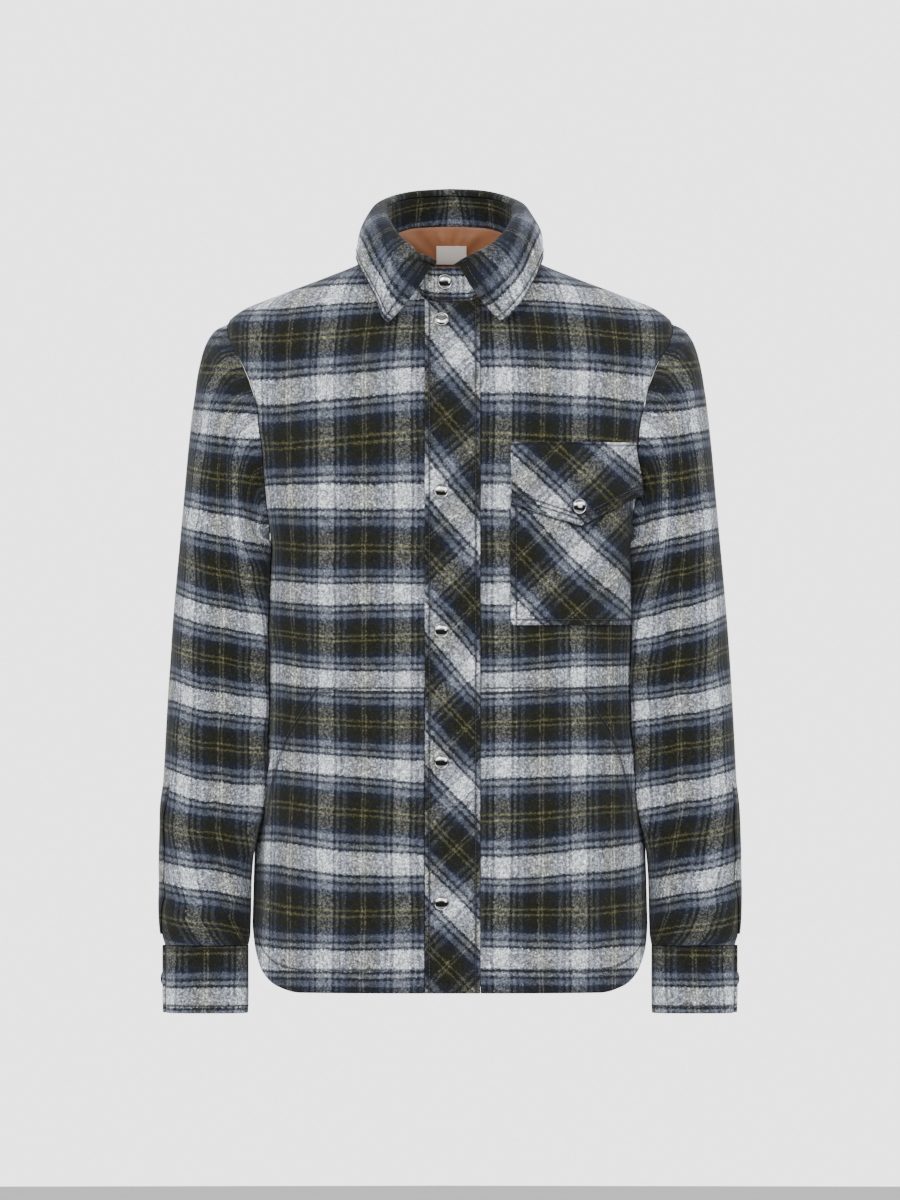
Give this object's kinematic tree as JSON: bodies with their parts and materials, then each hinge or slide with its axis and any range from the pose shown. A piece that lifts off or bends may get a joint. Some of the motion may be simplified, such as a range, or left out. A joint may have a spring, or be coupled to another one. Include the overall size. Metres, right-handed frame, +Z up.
{
  "type": "shacket",
  "caption": "Plaid brushed wool shacket with pointed collar, bias-cut snap front band, flapped chest pocket and large lower patch pockets, hollow as worn",
  "frame": {"origin": "between the shoulders, at the height where the shoulder seams meet the neck, where the wearer's shoulders carry the garment", "axes": "+Z up, the front faces -Y, +X is the wearer's left"},
  "size_m": [0.5844, 0.2639, 0.825],
  "materials": {
    "wool_plaid": "brushed wool plaid in navy, pale blue-grey, near-black green and off-white with a fine yellow line, matte and napped",
    "wool_plaid_bias": "the same brushed wool plaid cut on the bias, so its stripes run at 45 degrees",
    "lining": "smooth tan lining with a soft sheen",
    "label": "plain cream woven tape, blank",
    "snap_metal": "polished domed snap caps with a plain rim"
  },
  "bodies": {
    "root": {"front_left": "wool_plaid", "front_right": "wool_plaid", "back": "wool_plaid", "placket": "wool_plaid_bias", "sleeve_left": "wool_plaid", "sleeve_right": "wool_plaid", "vent_left": "wool_plaid", "vent_right": "wool_plaid", "cuff_left": "wool_plaid", "cuff_right": "wool_plaid", "collar_stand": "wool_plaid", "collar_fall": "wool_plaid", "chest_pocket": "wool_plaid_bias", "pocket_flap": "wool_plaid_bias", "hand_pocket_left": "wool_plaid", "hand_pocket_right": "wool_plaid", "lining_back": "lining", "neck_label": "label", "snap_stand": "snap_metal", "snap_placket_1": "snap_metal", "snap_placket_2": "snap_metal", "snap_placket_3": "snap_metal", "snap_placket_4": "snap_metal", "snap_placket_5": "snap_metal", "snap_flap": "snap_metal", "snap_cuff_left": "snap_metal", "snap_cuff_right": "snap_metal"}
  },
  "joints": []
}
